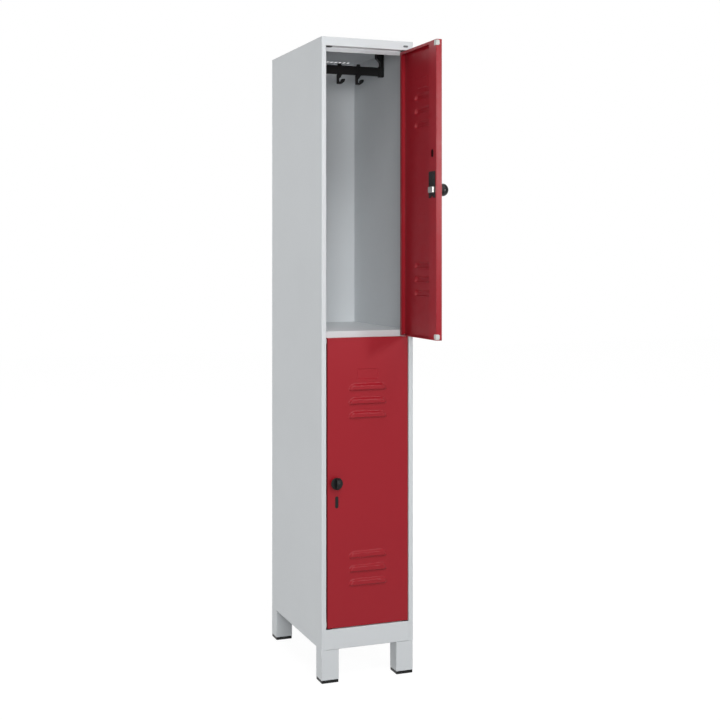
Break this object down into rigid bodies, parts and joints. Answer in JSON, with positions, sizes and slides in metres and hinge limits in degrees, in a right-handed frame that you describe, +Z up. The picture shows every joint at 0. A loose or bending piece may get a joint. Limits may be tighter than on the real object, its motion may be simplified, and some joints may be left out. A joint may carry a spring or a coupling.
{
  "type": "double tier locker",
  "caption": "Tall narrow steel locker on square feet: an upper and a lower compartment, louvred doors with quarter-turn padlock knobs, coat rails and sliding hooks.",
  "frame": {"origin": "on the floor, midway between the locker's sides, and midway in depth between its back and the free edge of the open upper door", "axes": "+X to the right seen from the front, +Y from the doors towards the back, +Z up"},
  "size_m": [0.3133, 0.7525, 1.95],
  "materials": {
    "body_grey": "satin",
    "door_red": "satin",
    "black_plastic": "satin",
    "white_plastic": "satin",
    "zinc_steel": "satin",
    "plug_grey": "satin"
  },
  "bodies": {
    "cabinet": {"left_side_panel": "body_grey", "right_side_panel": "body_grey", "back_panel": "body_grey", "roof_panel": "body_grey", "middle_shelf": "body_grey", "bottom_panel": "body_grey", "base_panel": "body_grey", "front_left_foot": "body_grey", "front_left_foot_cap": "black_plastic", "front_left_foot_bolt": "zinc_steel", "front_right_foot": "body_grey", "front_right_foot_cap": "black_plastic", "front_right_foot_bolt": "zinc_steel", "rear_left_foot": "body_grey", "rear_left_foot_cap": "black_plastic", "rear_left_foot_bolt": "zinc_steel", "rear_right_foot": "body_grey", "rear_right_foot_cap": "black_plastic", "rear_right_foot_bolt": "zinc_steel", "top_hinge_block": "black_plastic", "top_spare_block": "black_plastic", "bottom_hinge_block": "black_plastic", "bottom_spare_block": "black_plastic", "top_hinge_pin": "zinc_steel", "middle_hinge_pin": "zinc_steel", "bottom_hinge_pin": "zinc_steel", "middle_hinge_tab": "body_grey", "oval_plug": "plug_grey", "upper_coat_rail": "black_plastic", "upper_left_rail_bracket": "black_plastic", "upper_right_rail_bracket": "black_plastic", "lower_coat_rail": "black_plastic", "lower_left_rail_bracket": "black_plastic", "lower_right_rail_bracket": "black_plastic"},
    "upper_door": {"upper_door_panel": "door_red", "upper_door_bottom_bush": "black_plastic", "upper_door_top_bush": "black_plastic", "upper_slot_insert": "black_plastic", "upper_door_bottom_buffer": "white_plastic", "upper_door_top_buffer": "white_plastic", "upper_lock_case": "black_plastic"},
    "upper_knob": {"upper_knob": "black_plastic", "upper_spindle": "zinc_steel"},
    "upper_bolt": {"upper_latch_bolt": "zinc_steel"},
    "upper_hook_1": {"upper_hook_1": "black_plastic"},
    "upper_hook_2": {"upper_hook_2": "black_plastic"},
    "lower_door": {"lower_door_panel": "door_red", "lower_door_bottom_bush": "black_plastic", "lower_door_top_bush": "black_plastic", "lower_slot_insert": "black_plastic", "lower_door_bottom_buffer": "white_plastic", "lower_door_top_buffer": "white_plastic", "lower_lock_case": "black_plastic"},
    "lower_knob": {"lower_knob": "black_plastic", "lower_spindle": "zinc_steel"},
    "lower_bolt": {"lower_latch_bolt": "zinc_steel"},
    "lower_hook_1": {"lower_hook_1": "black_plastic"},
    "lower_hook_2": {"lower_hook_2": "black_plastic"}
  },
  "joints": [
    {"name": "upper_door_hinge", "type": "hinge", "parent": "cabinet", "child": "upper_door", "pos_m": [0.1245, -0.1185, 1.0435], "axis": [0, 0, 1], "range_deg": [-90, 20]},
    {"name": "lower_door_hinge", "type": "hinge", "parent": "cabinet", "child": "lower_door", "pos_m": [0.1245, -0.1185, 0.164], "axis": [0, 0, 1], "range_deg": [0, 110]},
    {"name": "upper_knob_turn", "type": "hinge", "parent": "upper_door", "child": "upper_knob", "pos_m": [0.1305, -0.348, 1.48175], "axis": [1, 0, 0], "range_deg": [0, 90]},
    {"name": "upper_bolt_throw", "type": "slide", "parent": "upper_door", "child": "upper_bolt", "axis": [0, -1, 0], "range_m": [0, 0.02235]},
    {"name": "lower_knob_turn", "type": "hinge", "parent": "lower_door", "child": "lower_knob", "pos_m": [-0.105, -0.1245, 0.60225], "axis": [0, -1, 0], "range_deg": [0, 90]},
    {"name": "lower_bolt_throw", "type": "slide", "parent": "lower_door", "child": "lower_bolt", "axis": [-1, 0, 0], "range_m": [0, 0.02235]},
    {"name": "upper_hook_1_slide", "type": "slide", "parent": "cabinet", "child": "upper_hook_1", "axis": [1, 0, 0], "range_m": [-0.1, 0.03]},
    {"name": "upper_hook_2_slide", "type": "slide", "parent": "cabinet", "child": "upper_hook_2", "axis": [1, 0, 0], "range_m": [-0.03, 0.04]},
    {"name": "lower_hook_1_slide", "type": "slide", "parent": "cabinet", "child": "lower_hook_1", "axis": [1, 0, 0], "range_m": [-0.1, 0.03]},
    {"name": "lower_hook_2_slide", "type": "slide", "parent": "cabinet", "child": "lower_hook_2", "axis": [1, 0, 0], "range_m": [-0.03, 0.04]}
  ],
  "couplings": [
    {"joint": "upper_bolt_throw", "follows": "upper_knob_turn", "m_per_rad": 0.014225},
    {"joint": "lower_bolt_throw", "follows": "lower_knob_turn", "m_per_rad": 0.014225}
  ]
}
